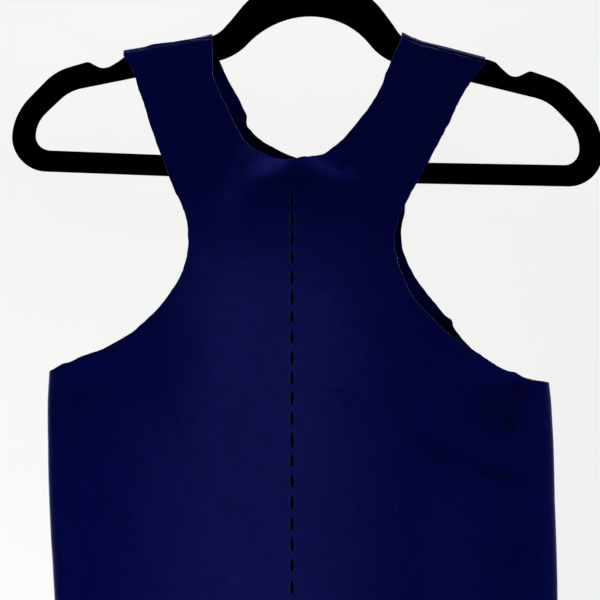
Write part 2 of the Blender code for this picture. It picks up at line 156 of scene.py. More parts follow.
# The small ones come on top and fade at both ends.
FRONT_CREASES = (
    Crease("neck facets' ridge", ((-47, 241), (-27, 231.5), (-9, 222.5), (4, 231), (23, 239)), 24, 9, 3.6),
    Crease("neck sag", ((-50, 208), (-30, 219.5), (-9, 219), (8, 216), (22, 207)), 6, 6, -2.2),
    Crease("left facet's end", ((-52, 214), (-62, 240)), 7, 5, 0.7),
    Crease("right bar dimple", ((18, 226.5), (24, 229.5)), 3, 3, -0.8),
    Crease("right facet's hem", ((14, 240), (30, 236), (34, 228)), 5, 8, 0.8),
    Crease("small strap crease", ((-76, 234), (-80, 243)), 2.6, 4, 0.8),
    Crease("small chest crease", ((-66, 250), (-62, 256)), 3, 4, 0.6),
    Crease("strap furrow", ((-100, 176), (-78, 232)), 5, 10, 0.6),
    Crease("chest thread crease", ((58.5, 384), (60.5, 404), (67, 428)), 1.8, 1.8, 0.7),
    Crease("chest dark spot", ((59, 434), (63, 446)), 3.2, 6, 0.9),
    Crease("chest ledge upper", ((71, 418), (88, 433), (108, 448)), 8.5, 22, 2.6),
    Crease("chest ledge lower", ((119, 446), (134, 453), (149, 460)), 6.5, 16, 1.9),
    Crease("side furrow", ((148.5, 414), (149.5, 431)), 3, 3.4, -1.7),
    Crease("side ledge", ((127, 398), (141, 404)), 6, 12, 1.2),
    Crease("corner furrow", ((146, 386), (166, 390)), 8, 6, 1.9),
    Crease("armhole hollow", ((118, 386), (160, 396)), 34, 10, 3.4),
    Crease("rib ridge", ((88, 470), (90, 526)), 14, 14, 0.8),
    Crease("rib band", ((76, 478), (80, 560)), 7, 12, 0.6),
    Crease("waist nick", ((-98.5, 535), (-96, 546), (-97, 554)), 2.4, 2.4, 0.7),
    Crease("left side ridge", ((-176, 470), (-180, 560), (-178, 700)), 12, 9, 0.6),
    Crease("left corner ledge", ((-184, 384), (-150, 392)), 16, 8, 1.1),
    Crease("left chest drag", ((-120, 372), (-84, 420), (-72, 470)), 16, 16, 0.9),
    Crease("middle drag", ((-64, 300), (-52, 350), (-58, 420)), 7, 12, 0.7),
    Crease("small middle crease", ((4, 388), (20, 396), (32, 408)), 3, 7, 0.6),
    Crease("hip drag", ((-150, 600), (-96, 632), (-50, 644)), 12, 16, -1),
    Crease("right hip drag", ((150, 590), (110, 618), (60, 634)), 16, 12, -0.9),
)
BACK_CREASES = (
    Crease("bar ridge left", ((-9, 226), (-30, 234), (-58, 238)), 8, 16, 2.2),
    Crease("bar ridge right", ((-9, 226), (16, 234), (44, 238)), 16, 8, 2),
    Crease("yoke crease", ((30, 290), (10, 310), (-6, 318)), 4, 7, 0.8),
    Crease("left blade ledge", ((-78, 342), (-104, 384), (-124, 408)), 20, 6, 3.2),
    Crease("left blade ridge", ((-92, 336), (-120, 376)), 7, 9, 0.9),
    Crease("right blade ledge", ((56, 352), (78, 392), (98, 416)), 6, 18, 2.8),
    Crease("right blade ridge", ((72, 350), (98, 388)), 8, 6, 0.9),
    Crease("small back crease", ((-40, 424), (-34, 446), (-37, 462)), 2.6, 3.4, 0.8),
    Crease("waist furrow", ((-90, 524), (-66, 546), (-44, 558)), 6, 18, 2.4),
    Crease("waist ridge", ((-78, 516), (-50, 540)), 8, 7, 0.8),
    Crease("right waist drag", ((132, 500), (92, 532), (64, 540)), 9, 12, -1.1),
    Crease("right side ridge", ((158, 470), (163, 570), (160, 700)), 10, 12, 0.8),
    Crease("left corner furrow", ((-180, 390), (-156, 408)), 6, 8, -1),
    Crease("hip drag", ((-140, 610), (-84, 640), (-30, 646)), 12, 16, -0.9),
)

# Short in-plane pulls that shape an edge: every point near the place moves by shift.
Pull = namedtuple("Pull", "name place half_width shift")
FRONT_PULLS = (
    Pull("left corner bump", (-190, 378.5), 5, (0, -1.2)),
    Pull("right corner bump", (151, 383), 5, (0.3, -1.8)),
    Pull("right corner nick", (162, 389), 4.5, (0, 1.6)),
    Pull("neck peak", (-8.6, 221), 2.6, (0, -1)),
    Pull("neck dip", (-20, 221.5), 8, (0, 0.9)),
    Pull("neck's left half", (-40.5, 217), 8, (0, -1.9)),
    Pull("right armhole's top", (66.5, 262), 10, (-2.4, 0)),
    Pull("strap kink", (-75.6, 158.5), 4.5, (-1, 0)),
)
BACK_PULLS = (
    Pull("right armhole's top", (66.5, 264), 10, (3.2, 0)),
    Pull("right armhole step", (103.5, 345), 4, (1.8, -0.8)),
    Pull("left strap's inner edge", (-59.5, 176), 12, (1.7, 0)),
    Pull("neck's left half", (-35, 210.5), 17, (0.6, -1.2)),
    Pull("neck notch", (-49.5, 196), 4, (-1.4, 0.6)),
    Pull("neck bump", (-52, 188), 4, (1, 0)),
)

# How far a panel's outer edges stand out from the solids' own edges: (drop, left, right).
EDGE_SHIFTS = (
    (152, 0, 0), (172, 1.5, 1.5), (190, 1.2, 1.3), (205, 0.9, 1.1), (215, 1, 1.5),
    (240, 1.3, 0.9), (260, 1.2, 0.1), (279, 0.9, 0), (288, 0.1, 0.2), (297, 0, 1.4),
    (306, 0.1, 1.8), (324, 0.8, 1), (342, 1.1, 2.3), (360, 0.4, 0.4), (384, 0.9, 0),
    (404, 1.5, 1.1), (436, 0.8, 1.2), (480, 0.9, 0.7), (510, 1.6, 1.1), (540, 1.8, 1.3),
    (600, 1, 0.8), (680, 0, 0),
)

# The shoulder seam's turn about the hanger's top edge, in degrees from straight back: (x, turn).
SEAM_LINE = (
    (-143.5, 140), (-129, 143), (-123, 134), (-113, 131), (-98, 131), (-92, 143),
    (-86, 152), (-81, 164), (-76.5, 171), (67, 173), (78, 169), (88, 162),
    (97, 170), (105, 173), (113, 174), (124, 174), (130, 170),
)
# How far above the hanger's own curve the shoulder's fold stands: (x, lift).
SEAM_LIFTS = (
    (-143.5, 0.9), (-134, 0.5), (-127, 0.35), (-122, 1), (-114, 0.7), (-106, 0),
    (-94, -0.3), (-84, -0.1), (-76.5, 0.3), (67, 1.9), (74, 0.3), (82, -0.25),
    (90, 0.3), (100, 1.05), (112, 1.7), (121, 2.25), (130, 2.6),
)

# The hanger's outline from the top of the arch to the middle of the bar; the other half mirrors it.
Corner = namedtuple("Corner", "name x drop radius")
OUTER_CORNERS = (
    Corner("arch", 0, 39.8, 69),
    Corner("arch meets arm", 69.9, 129.5, 20),
    Corner("notch inner lip", 141.5, 147, 5),
    Corner("notch bottom", 154.9, 158, 9),
    Corner("notch outer lip", 167.3, 151.7, 5),
    Corner("arm bends down", 192, 159.5, 42),
    Corner("end", 223.7, 193.4, 46),
    Corner("lower end", 223.7, 237.2, 26),
    Corner("bar", 0, 239.2, 6000),
)
INNER_CORNERS = (
    Corner("arch", 0, 81.9, 61),
    Corner("arch meets arm", 55.8, 146.1, 44),
    Corner("arm bends down", 181.2, 174.1, 33),
    Corner("end", 206, 198.6, 27),
    Corner("lower end", 206, 221.2, 11.5),
    Corner("bar", 0, 223.4, 6000),
)
HANGER_PULLS = (
    Pull("left notch's inner slope", (-147, 147.5), 8, (2.3, 0)),
    Pull("right notch's inner lip", (133, 149), 8, (0, -1.6)),
)
# How the moulded body departs from that level form: the arch stands a little to the right, and the
# lower bar leans more than the arms: (drop, shift in x, shift in drop, lean in degrees).
HANGER_ROWS = ((118, 1.2, 0, 0), (134, 0, 0, 0), (192, 0, 0, 0), (222, 0, -0.3, 0.43))


def read_off(at, table, column=1):
    """A column of a table of numbers, interpolated at places in its first column."""
    rows = np.array(table)
    return np.interp(at, rows[:, 0], rows[:, column])


def ease(value):
    """A smooth step from 0 to 1."""
    value = np.clip(value, 0.0, 1.0)
    return value * value * (3 - 2 * value)


# Smooth noise


def lattice(seed):
    return np.random.default_rng(seed).uniform(-1.0, 1.0, (64, 64))


def noise(x, y, seed):
    """Smooth value noise in -1..1 at places given in lattice cells."""
    table = lattice(seed)
    x0, y0 = np.floor(x).astype(int), np.floor(y).astype(int)
    u, v = x - x0, y - y0
    u, v = u * u * (3 - 2 * u), v * v * (3 - 2 * v)
    a, b = table[x0 % 64, y0 % 64], table[(x0 + 1) % 64, y0 % 64]
    c, d = table[x0 % 64, (y0 + 1) % 64], table[(x0 + 1) % 64, (y0 + 1) % 64]
    return (a * (1 - u) + b * u) * (1 - v) + (c * (1 - u) + d * u) * v


CUT_WAVES = ((17, 0.18), (5.4, 0.25), (2.6, 0.24))  # (length, height) in mm


def rough(along, seed):
    """Unevenness of a raw cut at a distance along it, in metres."""
    total = np.zeros_like(along)
    for wavelength, height in CUT_WAVES:
        total += height * MM * noise(along / (wavelength * MM), 0.37 * seed, seed)
    return total


# The unevenness of hanging cloth, from slow to fine: its height in mm, then each wave's length in
# metres and its offset, across and down.
SLACK_WAVES = (
    (0.22, (0.055, 7.1), (0.090, 3.3)),
    (0.09, (0.021, 1.7), (0.032, 5.9)),
    (0.022, (0.0062, 2.7), (0.0070, 8.9)),
)


def slack(x, drop, seed):
    total = 0.0
    for order, (height, (across, x_offset), (down, drop_offset)) in enumerate(SLACK_WAVES):
        place = x / across + x_offset, drop / down + drop_offset
        total += height * MM * noise(*place, seed + order)
    return total


# Stitching: one running stitch down the middle of the front, its stitches a little further apart
# towards the hem. The first drop, the pitch, its growth and a stitch's length are in mm.

STITCH_X = -16.0 * MM
STITCH_COUNT = 30
FIRST_STITCH = 247.5
STITCH_PITCH = 14.63
PITCH_GROWTH = 0.0377
STITCH_LENGTH = 10.2
LENGTH_SPREAD = 0.7
LIP_HIGHLIGHT_BANDS = (1.45 * MM, 2.4 * MM)  # the bands on the lips beside a stitch, where a highlight is painted
BAND_END = 0.6 * MM  # what such a band is shorter than its stitch at each end


def stitch_span(number):
    """The drops at which a stitch starts and ends."""
    start = (FIRST_STITCH + STITCH_PITCH * number + PITCH_GROWTH * number**2) * MM
    return start, start + (STITCH_LENGTH + LENGTH_SPREAD * math.sin(1.7 * number)) * MM


def on_lit_lips(places):
    """Whether a place lies in one of the narrow bands beside a stitch that carry a painted highlight."""
    across, drop = np.abs(places[:, 0] - STITCH_X), -places[:, 2]
    beside = (across > LIP_HIGHLIGHT_BANDS[0]) & (across < LIP_HIGHLIGHT_BANDS[1])
    along = np.zeros(across.shape, dtype=bool)
    for number in range(STITCH_COUNT):
        start, end = stitch_span(number)
        along |= (drop > start + BAND_END) & (drop < end - BAND_END)
    return beside & along


DIP_DEPTH, DIP_WIDTH = 0.75, 1.15  # mm
LIP_HEIGHT, LIP_WIDTH, LIP_PLACE = 0.40, 0.62, 2.0  # mm


def pucker_height(x, drop):
    """The dip under each stitch and the small lips beside it."""
    across = (x - STITCH_X) / MM
    dip = np.exp(-((across / DIP_WIDTH) ** 2))
    lip = np.exp(-(((np.abs(across) - LIP_PLACE) / LIP_WIDTH) ** 2))
    total = np.zeros(x.shape)
    for number in range(STITCH_COUNT):
        start, end = stitch_span(number)
        along = np.abs(drop - (start + end) / 2) / ((end - start) / 2)
        total += np.exp(-(along**4)) * (LIP_HEIGHT * lip - DIP_DEPTH * dip) * MM
    return total


# Cloth


class Edge:
    """A smooth curve through one column of a panel's sections, sharp only at the rows in corners."""

    def __init__(self, places, corners):
        self.places = [Vector(place) * MM for place in places]
        self.corners = set(corners) | {0, len(places) - 1}

    def tangent(self, row, side):
        """The direction at a section for one step of side (-1 below it, +1 above it)."""
        if row in self.corners:
            low, high = sorted((row, min(max(row + side, 0), len(self.places) - 1)))
        else:
            low, high = row - 1, row + 1
        lengths = [(self.places[i + 1] - self.places[i]).length for i in range(low, high)]
        return (self.places[high] - self.places[low]) / sum(lengths)

    def at(self, row, share):
        """The place a share of the way from a section to the next."""
        start, end = self.places[row], self.places[row + 1]
        length = (end - start).length
        t, t2, t3 = share, share**2, share**3
        return (
            start * (2 * t3 - 3 * t2 + 1)
            + end * (3 * t2 - 2 * t3)
            + self.tangent(row, 1) * length * (t3 - 2 * t2 + t)
            + self.tangent(row + 1, -1) * length * (t3 - t2)
        )


def line_distance(x, drop, points):
    """Distance to a line through points, the side it is on, and the share along the line.

    The side runs smoothly from -1 (right of the direction) to 1 (left) round the line's ends.
    """
    best = np.full(x.shape, 1e9)
    side, share = np.zeros(x.shape), np.zeros(x.shape)
    for i, ((ax, ad), (bx, bd)) in enumerate(zip(points, points[1:])):
        ux, ud = (bx - ax) * MM, (bd - ad) * MM
        px, pd = x - ax * MM, drop - ad * MM
        t = np.clip((px * ux + pd * ud) / (ux * ux + ud * ud), 0.0, 1.0)
        far = np.hypot(px - t * ux, pd - t * ud)
        near = far < best
        across = (ud * px - ux * pd) / math.hypot(ux, ud)
        best = np.where(near, far, best)
        side = np.where(near, across / np.maximum(far, 1e-6), side)
        share = np.where(near, (i + t) / (len(points) - 1), share)
    return best, side, share


def relief(x, drop, creases, at_ends):
    """The creases' height; at_ends is the share of it that is left at their ends."""
    total = np.zeros(x.shape)
    for crease in creases:
        far, side, share = line_distance(x, drop, crease.points)
        middle = (crease.left_width + crease.right_width) / 2
        width = (middle + (crease.left_width - crease.right_width) / 2 * side) * MM
        fade = at_ends + (1 - at_ends) * np.sin(np.pi * share)
        total += crease.height * MM * fade * np.exp(-((far / width) ** 2))
    return total


CREASE_ENDS = 0.35

# Where creases may press a wall in deeper than the hanger allows: below its bar, and between the
# straps above the bar. Drops and x in mm, each with the width over which the room grows.
ROOM_ON_HANGER = 0.25 * MM
ROOM_BELOW_BAR, BAR_END, BAR_END_WIDTH = 3.0 * MM, 243.0, 14.0
ROOM_ABOVE_BAR, BAR_START, BAR_START_WIDTH = 2.0 * MM, 225.8, 8.0
OPEN_START, OPEN_START_WIDTH = 200.0, 6.0
OPEN_MIDDLE, OPEN_HALF, OPEN_HALF_WIDTH = -14.0, 44.0, 10.0


def deepest(x, drop):
    """The most that creases may press a wall in."""
    x, drop = x / MM, drop / MM
    below = np.clip((drop - BAR_END) / BAR_END_WIDTH, 0.0, 1.0)
    above = ease((BAR_START - drop) / BAR_START_WIDTH) * ease((drop - OPEN_START) / OPEN_START_WIDTH)
    above = above * ease((OPEN_HALF - np.abs(x - OPEN_MIDDLE)) / OPEN_HALF_WIDTH)
    return -ROOM_ON_HANGER - ROOM_BELOW_BAR * below - ROOM_ABOVE_BAR * above


# lip is how far the panel swells out beside the shoulder seam, in mm.
Panel = namedtuple("Panel", "name top folds creases pulls facing lip stitched seed")
FRONT = Panel("front_cloth", FRONT_TOP, FRONT_FOLDS, FRONT_CREASES, FRONT_PULLS, -1, 0.45, True, 11)
BACK = Panel("back_cloth", BACK_TOP, BACK_FOLDS, BACK_CREASES, BACK_PULLS, 1, 0.12, False, 31)


def depth(panel, x, drop, side_x):
    """The wall's middle's distance from the hanger's plane; side_x is where the side edge is."""
    flat = read_off(drop / MM, DEPTHS) * MM + relief(x, drop, panel.folds, 1.0)
    extra = relief(x, drop, panel.creases, CREASE_ENDS) + slack(x, drop, panel.seed)
    if panel.stitched:
        extra += pucker_height(x, drop)
    flat = flat + np.maximum(extra, deepest(x, drop))
    inward = np.minimum(np.abs(x - side_x) / SIDE_FOLD_WIDTH, 1.0)
    share = np.sqrt(1.0 - (1.0 - inward) ** 2)
    return SEAM_GAP / 2 + (flat - SEAM_GAP / 2) * share


# Distances in mm from an end of a row at which columns stand: at a cut edge, and over the stitches.
CUT_COLUMNS = (0, 0.08, 0.22, 0.42, 0.7, 1.1, 1.7, 2.5, 3.6, 5, 6.6, 8.4, 10.5)
SIDE_COLUMNS = (0, 0.06, 0.18, 0.38, 0.7, 1.2, 1.9, 2.8, 3.9, 5.2, 6.6, 8.4, 10.5)
STITCH_COLUMNS = (0, 3, 4, 4.45, 4.9, 5.4, 6.2, 7, 7.5, 7.95, 8.4, 9.4, 11.2)
PLAIN_COLUMNS = tuple(1.7 * step for step in range(13))
CUT_ROWS = CUT_COLUMNS[:7]


def column_shares(lengths, places, outer_rows, inner_rows, middle_count):
    """The share across each row at which every column stands."""
    lengths = lengths[:, None] / MM
    outer = outer_rows @ np.array([SIDE_COLUMNS, CUT_COLUMNS])
    inner = inner_rows @ np.array(places)
    start, end = outer[:, -1:], lengths - inner[:, -1:]
    between = np.linspace(0.0, 1.0, middle_count + 2)[None, 1:-1]
    return np.hstack([outer, start + (end - start) * between, lengths - inner[:, ::-1]]) / lengths


def row_places(edges, pitch):
    """(section, share) of every row, close together at the hem."""
    rows = []
    for row in range(len(edges[0].places) - 1):
        longest = max((edge.places[row + 1] - edge.places[row]).length for edge in edges)
        count = max(2, round(longest / pitch))
        shares = [step / count for step in range(count)]
        if row == 0:
            shares = [step * MM / longest for step in CUT_ROWS] + shares[1:]
        rows += [(row, share) for share in shares]
    return rows + [(len(edges[0].places) - 2, 1.0)]


def arc_length(line):
    steps = np.hypot(*np.diff(line, axis=0).T)
    return np.concatenate([[0.0], np.cumsum(steps)])


def outward(line, sign):
    """Unit normals of an edge in the plane, on its free side."""
    tangent = np.gradient(line, axis=0)
    tangent /= np.linalg.norm(tangent, axis=1)[:, None]
    return sign * np.stack([-tangent[:, 1], tangent[:, 0]], axis=1)


def pulled(x, drop, pulls):
    for pull in pulls:
        px, pd = pull.place[0] * MM, pull.place[1] * MM
        weight = np.exp(-((x - px) ** 2 + (drop - pd) ** 2) / (pull.half_width * MM) ** 2)
        x, drop = x + weight * pull.shift[0] * MM, drop + weight * pull.shift[1] * MM
    return x, drop


SEAM_HALF_GAP = 3.0  # degrees
SEAM_NOISE = 3.0  # degrees
SEAM_LAST_TURN = 174.0  # degrees
SEAM_LIP = 1.1 * MM
SEAM_LIP_WIDTH = 0.8 * MM
FOLD_PITCH = 6.0  # degrees
FOLD_RIPPLE = 0.22 * MM
FOLD_DENT = 0.1 * MM


def shoulder_fold(panel, last_row, seed):
    """The rows that carry a wall on over the hanger's top edge, and their distance from the seam."""
    crest = last_row.copy()
    crest[:, 1] = 0.0
    start = 0.0 if panel.facing > 0 else 180.0
    line = read_off(crest[:, 0] / MM, SEAM_LINE) + SEAM_NOISE * noise(crest[:, 0] / 0.0045, 3.1, 77)
    end = np.minimum(line, SEAM_LAST_TURN) - panel.facing * SEAM_HALF_GAP
    count = max(8, round(float(np.abs(end - start).mean()) / FOLD_PITCH))
    rows, from_seam = [], []
    for step in range(1, count + 1):
        turn = np.radians(end + (start - end) * (1 - step / count) ** 1.6)
        distance = np.abs(turn - np.radians(end)) * FOLD_RADIUS
        lip = panel.lip * MM * np.exp(-(((distance - SEAM_LIP) / SEAM_LIP_WIDTH) ** 2))
        ripple = FOLD_RIPPLE * noise(crest[:, 0] / 0.011, turn * 0.8, seed)
        radius = FOLD_RADIUS + np.maximum(ripple, -FOLD_DENT) + lip
        row = crest.copy()
        row[:, 1] += np.cos(turn) * radius
        row[:, 2] += np.sin(turn) * radius
        rows.append(row)
        from_seam.append(distance)
    return np.array(rows), np.array(from_seam)


NO_EDGE = 1.0  # a distance longer than any on the cloth
ROUGH_WIDTH = 3.0 * MM
CURL_WIDTH = 3.2 * MM
CURL_HEIGHT = 0.22 * MM
CURL_ROOM = 12.0 * MM
HEM_WIDTH = 4.0 * MM


def half_grid(panel, outer_edge, inner_edge, rows, side, middle_columns):
    """The wall's middle of one half, side -1 for the left and 1 for the right one.

    Gives its grid of points; each point's distance from the nearest edge that thins, from the
    nearest raw cut that shows and, on the shoulder's fold, from the seam; and how many rows reach
    up to the neck and to the underarm.
    """
    section = np.array([row + share for row, share in rows])
    outer = np.array([outer_edge.at(row, share) for row, share in rows])
    inner = np.array([inner_edge.at(row, share) for row, share in rows])
    outer[:, 0] += side * read_off(outer[:, 1] / MM, EDGE_SHIFTS, 1 if side < 0 else 2) * MM
    lengths = np.hypot(*(inner - outer).T)
    at_arm, at_neck = ease(section - UNDERARM), ease(section - (NECK - 1))
    body_columns = STITCH_COLUMNS if panel.stitched and side < 0 else PLAIN_COLUMNS
    shares = column_shares(
        lengths,
        (body_columns, CUT_COLUMNS),
        np.stack([1 - at_arm, at_arm], axis=1),
        np.stack([1 - at_neck, at_neck], axis=1),
        middle_columns,
    )
    places = outer[:, None] + (inner - outer)[:, None] * shares[:, :, None]
    seed, last = panel.seed * 10 + side, len(BODY + panel.top) - 1

    cuts, curl = [], 0.0
    for line, below, far, free_side, edge_seed in (
        (outer, UNDERARM, shares * lengths[:, None], side, seed),
        (inner, NECK, (1 - shares) * lengths[:, None], -side, seed + 3),
    ):
        is_cut = (section > below) * ease((section - below) * 6)
        shift = rough(arc_length(line), edge_seed) * is_cut * ease((last - section) * 2)
        shift = shift[:, None] * np.exp(-((far / ROUGH_WIDTH) ** 2))
        places = places + shift[:, :, None] * outward(line, free_side)[:, None]
        curl = curl + is_cut[:, None] * np.exp(-((far / CURL_WIDTH) ** 2))
        cuts.append(np.where(is_cut[:, None] > 0.5, far, NO_EDGE))

    x, drop = places[:, :, 0], places[:, :, 1]
    above_hem = arc_length(outer)[:, None]
    hem_wave = rough(x + 0.4, panel.seed + 5) + 0.5 * MM * noise(x / 0.06, 0.3, panel.seed + 6)
    drop = drop + hem_wave * np.exp(-((above_hem / HEM_WIDTH) ** 2))
    x, drop = pulled(x, drop, panel.pulls)
    drop = drop - read_off(x / MM, SEAM_LIFTS) * MM * ease(section - (last - 1))[:, None]
    at_side = int((section <= UNDERARM).sum())
    side_x = np.where(section < UNDERARM, outer[:, 0], outer[at_side - 1, 0])[:, None]
    waves = 0.5 + 0.5 * noise(drop / 0.019, x / 0.05, seed + 4)
    room = ease(np.abs(x - side_x) / CURL_ROOM)
    y = depth(panel, x, drop, side_x) + curl * waves * CURL_HEIGHT * room
    grid = np.stack([x, panel.facing * y, -drop], axis=2)

    fold, from_seam = shoulder_fold(panel, grid[-1], seed + 8)
    cut = np.minimum(np.minimum(*cuts), above_hem)
    shown = 0.5 * from_seam if panel.facing < 0 else np.full(from_seam.shape, NO_EDGE)
    raw = np.concatenate([cut, shown])
    seam = np.concatenate([np.zeros(cut.shape), np.maximum(from_seam, 0.01 * MM)])
    cut = np.concatenate([cut, np.minimum(cut[-1], from_seam)])
    joined = int((section <= NECK).sum())
    return np.concatenate([grid, fold]), np.stack([cut, raw, seam], axis=2), joined, at_side


def weld(halves):
    """Vertices, their distances and quads of two halves that share their middle line, and the new
    number of every point of the two grids."""
    (left, left_cut, joined, _), (right, right_cut, _, _) = halves
    rows, columns = left.shape[:2]
    left_id = np.arange(rows * columns).reshape(rows, columns)
    right_id = left_id + rows * columns
    right_id[:joined, -1] = left_id[:joined, -1]
    vertices = np.concatenate([left.reshape(-1, 3), right.reshape(-1, 3)])
    cut = np.concatenate([left_cut.reshape(-1, 3), right_cut.reshape(-1, 3)])
    quads = []
    for ids, turned in ((left_id, False), (right_id, True)):
        quad = np.stack([ids[:-1, :-1], ids[:-1, 1:], ids[1:, 1:], ids[1:, :-1]], axis=-1)
        quad = quad.reshape(-1, 4)
        quads.append(quad[:, ::-1] if turned else quad)
    quads = np.concatenate(quads)
    used = np.unique(quads)
    index = np.full(len(vertices), -1)
    index[used] = np.arange(len(used))
    return vertices[used], cut[used], index[quads], index


def quad_normals(vertices, quads):
    """Each quad's normal, as long as twice its area."""
    a, b, c, d = (vertices[quads[:, i]] for i in range(4))
    return np.cross(c - a, d - b)


def vertex_normals(vertices, quads):
    total, normals = np.zeros_like(vertices), quad_normals(vertices, quads)
    for i in range(4):
        np.add.at(total, quads[:, i], normals)
    return total / np.linalg.norm(total, axis=1)[:, None]


def free_edges(quads):
    """Directed edges that only one quad has."""
    edges = np.concatenate([quads[:, [i, (i + 1) % 4]] for i in range(4)])
    key = np.sort(edges, axis=1)
    _, first, count = np.unique(key, axis=0, return_index=True, return_counts=True)
    return edges[first[count == 1]]


# The cloth's materials in the order of their slots. The wall's inner side and the seam's groove
# carry painted shade, and the lips beside the stitches and the shoulder's fold carry painted
# highlight and sheen.
PLAIN, RAW_CUT, WRONG_SIDE, PAINTED_HIGHLIGHT, GROOVE_SHADE, SHEEN_FOLD = range(6)
CUT_BAND = 0.42 * MM
GROOVE_BAND = 0.9 * MM
TOP_LIGHT_BAND = 3.4 * MM
SHADED_LIP = (-126.0, -93.0)  # x in mm, where the left strap's front fold next to the seam is painted in shade
CUT_ROUNDING = 0.62 * MM
CUT_THICKNESS = 0.3  # of the wall's


def outside_looks(panel, places, raw, seam):
    """The slot of every quad on a wall's outer side, from its corners' places and distances."""
    looks = np.where((raw < CUT_BAND).all(axis=1), RAW_CUT, PLAIN)
    if panel.stitched:
        looks[on_lit_lips(places.mean(axis=1))] = PAINTED_HIGHLIGHT
    folded, from_seam = (seam > 0.0).all(axis=1), seam.mean(axis=1)
    if panel.facing > 0:
        # The back's fold carries painted sheen, with painted shade in the groove next to the seam.
        looks[folded] = SHEEN_FOLD
        looks[folded & (from_seam < GROOVE_BAND)] = GROOVE_SHADE
    else:
        # A painted highlight along the top of the front's fold, near the seam.
        looks[folded & (looks == PLAIN) & (from_seam < TOP_LIGHT_BAND)] = PAINTED_HIGHLIGHT
        # Painted shade where the left strap's front fold meets the seam.
        across = places[:, :, 0].mean(axis=1) / MM
        shaded_lip = (across > SHADED_LIP[0]) & (across < SHADED_LIP[1])
        looks[folded & shaded_lip & (from_seam < GROOVE_BAND)] = GROOVE_SHADE
    return looks


def cloth_piece(panel, pitch, middle_columns, materials):
    """A panel as a closed wall, and the area of the wall's middle."""
    sections = BODY + panel.top
    left = Edge([section.left for section in sections], [UNDERARM])
    left_inner = Edge([section.left_inner for section in sections], [NECK])
    right_inner = Edge([section.right_inner for section in sections], [NECK])
    right = Edge([section.right for section in sections], [UNDERARM])
    rows = row_places([left, right], pitch)
    halves = [
        half_grid(panel, left, left_inner, rows, -1, middle_columns),
        half_grid(panel, right, right_inner, rows, 1, middle_columns),
    ]
    vertices, distances, quads, index = weld(halves)
    cut, raw, seam = distances.T
    if panel.facing > 0:
        quads = quads[:, ::-1]
    normals = vertex_normals(vertices, quads)
    grid_rows, columns = halves[0][0].shape[:2]
    side = np.arange(halves[0][3]) * columns
    side = index[np.concatenate([side, grid_rows * columns + side])]
    normals[side, 1] = 0.0
    normals[side] /= np.linalg.norm(normals[side], axis=1)[:, None]
    taper = 1 - np.clip(cut / CUT_ROUNDING, 0.0, 1.0)
    wall = CLOTH_WALL / 2 * (CUT_THICKNESS + (1 - CUT_THICKNESS) * np.sqrt(1 - taper**2))
    walls = np.concatenate([vertices + normals * wall[:, None], vertices - normals * wall[:, None]])
    shift = len(vertices)
    edges = free_edges(quads)
    rim = np.stack([edges[:, 1], edges[:, 0], edges[:, 0] + shift, edges[:, 1] + shift], axis=1)
    faces = np.concatenate([quads, quads[:, ::-1] + shift, rim])
    looks = [
        outside_looks(panel, vertices[quads], raw[quads], seam[quads]),
        np.full(len(quads), WRONG_SIDE),
        np.where((raw[edges] < CUT_BAND).all(axis=1), RAW_CUT, PLAIN),
    ]
    slots = np.concatenate(looks).astype(np.int32)
    made = mesh_object(panel.name, walls.tolist(), faces.tolist(), materials, 50.0, slots)
    area = np.linalg.norm(quad_normals(vertices, quads), axis=1).sum() / 2
    return made, float(area)


def mesh_object(name, vertices, faces, materials, sharp_from, slots=None):
    """A smooth object, sharp where its faces meet at more than sharp_from degrees."""
    data = bpy.data.meshes.new(name)
    data.from_pydata(vertices, [], faces)
    for material in materials:
        data.materials.append(material)
    if slots is not None:
        data.polygons.foreach_set("material_index", slots)
    data.update()
    data.shade_smooth()
    data.set_sharp_from_angle(angle=math.radians(sharp_from))
    made = bpy.data.objects.new(name, data)
    bpy.context.scene.collection.objects.link(made)
    return made


# Thread

STRAND_RADIUS = 1.36 * MM
STRAND_OFFSET = 0.38 * MM
STRAND_LAY = 5.2 * MM
STRAND_FUZZ = 0.12
STRAND_SIDES = 8
THREAD_PITCH = 0.42 * MM
THREAD_LEAN = 0.34 * MM
THREAD_LIFT, THREAD_SINK = 1.50 * MM, 0.55 * MM  # over a stitch
THREAD_DIVE, THREAD_DIP = 1.15 * MM, 0.45 * MM  # under the cloth between two stitches
THINNEST = 0.34  # of the thread's full width
LEFT_SIDE = -199.0 * MM
KNOT_TURNS = 2.2
KNOT_HALF_WIDTH, KNOT_HALF_HEIGHT, KNOT_ADVANCE = 0.62 * MM, 0.55 * MM, 0.16 * MM
KNOT_SHIFT, KNOT_DROP = 0.35 * MM, 0.5 * MM
KNOT_LIFT, KNOT_RISE = 0.75 * MM, 0.25 * MM
KNOT_RADIUS = 0.42 * MM


def over_front(x, drop, lift):
    """Places at a height above the front's wall's middle."""
    return np.stack([x, -(depth(FRONT, x, drop, LEFT_SIDE) + lift), -drop], axis=1)


def thread_route():
    """The thread's middle line as (x, y, z, fullness): over the cloth along each stitch, where it
    swells to its full width, and under the cloth between two stitches."""
    points = []
    for number in range(STITCH_COUNT):
        start, end = stitch_span(number)
        lean = THREAD_LEAN * math.sin(number * 2.3)
        for step in range(20):
            u = step / 20
            swell = math.sin(math.pi * u)
            lift = THREAD_LIFT * swell**0.5 - THREAD_SINK
            fullness = THINNEST + (1 - THINNEST) * swell**0.75
            points.append((STITCH_X + lean * (2 * u - 1), start + u * (end - start), lift, fullness))
        gap = stitch_span(number + 1)[0] - end
        if number < STITCH_COUNT - 1:
            for step in range(10):
                u = step / 10
                dive = -THREAD_DIVE * math.sin(math.pi * u) ** 0.35 - THREAD_DIP
                points.append((STITCH_X, end + u * gap, dive, THINNEST))
    x, drop, lift, fullness = np.array(points).T
    return np.column_stack([over_front(x, drop, lift), fullness])


